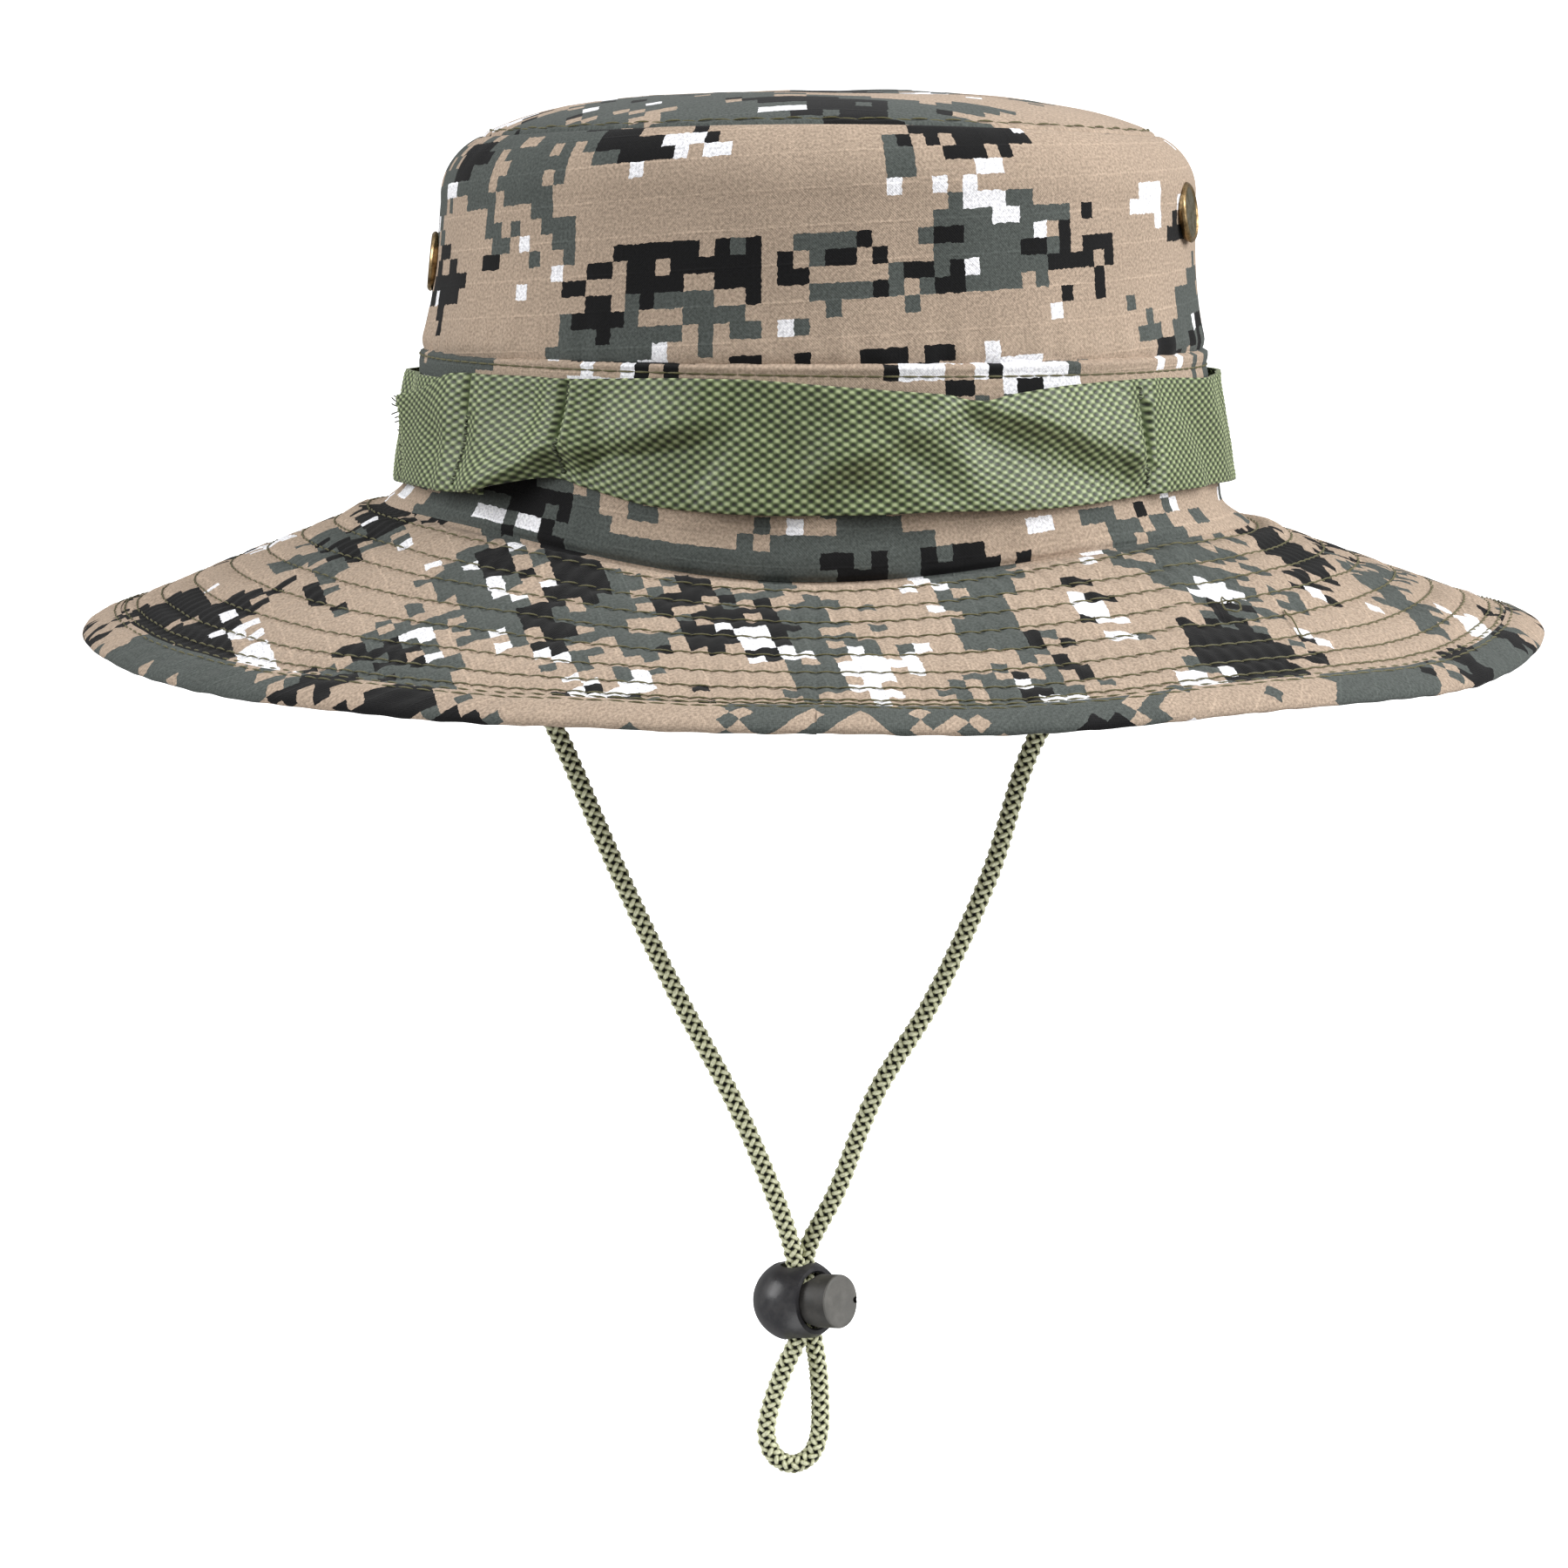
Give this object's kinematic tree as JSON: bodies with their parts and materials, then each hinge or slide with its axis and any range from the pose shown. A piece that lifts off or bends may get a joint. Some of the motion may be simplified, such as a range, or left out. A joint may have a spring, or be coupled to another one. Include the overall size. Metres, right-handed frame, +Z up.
{
  "type": "boonie hat",
  "caption": "Wide-brimmed cloth boonie hat with a quilted brim whose sides fold up, a webbing band round the crown and a chin cord with a sliding spring lock.",
  "frame": {"origin": "centre of the head opening, midway in height between the crown's seam with the brim at the front and at the two sides", "axes": "+Z up towards the crown's tip; the front of the hat faces -Y; +X is the wearer's left, on the right in the picture"},
  "size_m": [0.34, 0.34, 0.326],
  "materials": {
    "camo_cloth": null,
    "binding_cloth": "matt cotton ripstop, bias cut",
    "interlining": "stiff non-woven",
    "sweatband_cloth": "plain cotton tape",
    "webbing": "coarse basket-weave tape",
    "thread": "sewing thread",
    "brass": "dulled brass",
    "cord": "braided cord",
    "lock_plastic": "moulded satin",
    "plunger_plastic": "moulded satin",
    "spring_steel": "bright wire"
  },
  "bodies": {
    "hat": {"crown_tip": "camo_cloth", "crown_wall_front": "camo_cloth", "crown_wall_back": "camo_cloth", "crown_band_front": "camo_cloth", "crown_band_back": "camo_cloth", "sweatband": "sweatband_cloth", "brim_top_ply_front": "camo_cloth", "brim_top_ply_back": "camo_cloth", "brim_interlining_front": "interlining", "brim_interlining_back": "interlining", "brim_under_ply_front": "camo_cloth", "brim_under_ply_back": "camo_cloth", "brim_binding_front": "binding_cloth", "brim_binding_back": "binding_cloth", "webbing_band": "webbing", "bartack_1": "thread", "bartack_2": "thread", "bartack_3": "thread", "bartack_4": "thread", "bartack_5": "thread", "bartack_6": "thread", "crown_snap_left": "brass", "crown_snap_right": "brass", "crown_snap_back_left": "brass", "crown_snap_back_right": "brass", "cord_tab_left": "sweatband_cloth", "cord_tab_right": "sweatband_cloth"},
    "left_flap": {"brim_top_ply_left_flap": "camo_cloth", "brim_interlining_left_flap": "interlining", "brim_under_ply_left_flap": "camo_cloth", "brim_binding_left_flap": "binding_cloth", "brim_snap_socket_left": "brass", "brim_snap_cap_left": "brass"},
    "right_flap": {"brim_top_ply_right_flap": "camo_cloth", "brim_interlining_right_flap": "interlining", "brim_under_ply_right_flap": "camo_cloth", "brim_binding_right_flap": "binding_cloth", "brim_snap_socket_right": "brass", "brim_snap_cap_right": "brass"},
    "chin_strap": {"cord_leg_left": "cord", "cord_leg_right": "cord", "cord_loop": "cord"},
    "cord_lock": {"cord_lock_body": "lock_plastic", "cord_lock_spring": "spring_steel"},
    "lock_plunger": {"cord_lock_plunger": "plunger_plastic"}
  },
  "joints": [
    {"name": "left_flap_fold", "type": "hinge", "parent": "hat", "child": "left_flap", "pos_m": [-0.104, 0, 0.00314], "axis": [0, 1, 0], "range_deg": [0, 117], "stiffness_Nm_per_rad": 0.02},
    {"name": "right_flap_fold", "type": "hinge", "parent": "hat", "child": "right_flap", "pos_m": [0.104, 0, -0.00076], "axis": [0, -1, 0], "range_deg": [0, 117], "stiffness_Nm_per_rad": 0.02},
    {"name": "chin_strap_swing", "type": "hinge", "parent": "hat", "child": "chin_strap", "pos_m": [0, 0, -0.0153], "axis": [1, 0, 0], "range_deg": [-60, 60]},
    {"name": "lock_slide", "type": "slide", "parent": "chin_strap", "child": "cord_lock", "axis": [0, 0, 1], "range_m": [-0.014, 0.1], "deforming": ["cord_leg_left", "cord_leg_right", "cord_loop"]},
    {"name": "plunger_press", "type": "slide", "parent": "cord_lock", "child": "lock_plunger", "axis": [-0.7796, 0.6201, -0.0872], "range_m": [0, 0.0032], "stiffness_N_per_m": 350, "springref_m": -0.003, "deforming": ["cord_lock_spring"]}
  ]
}
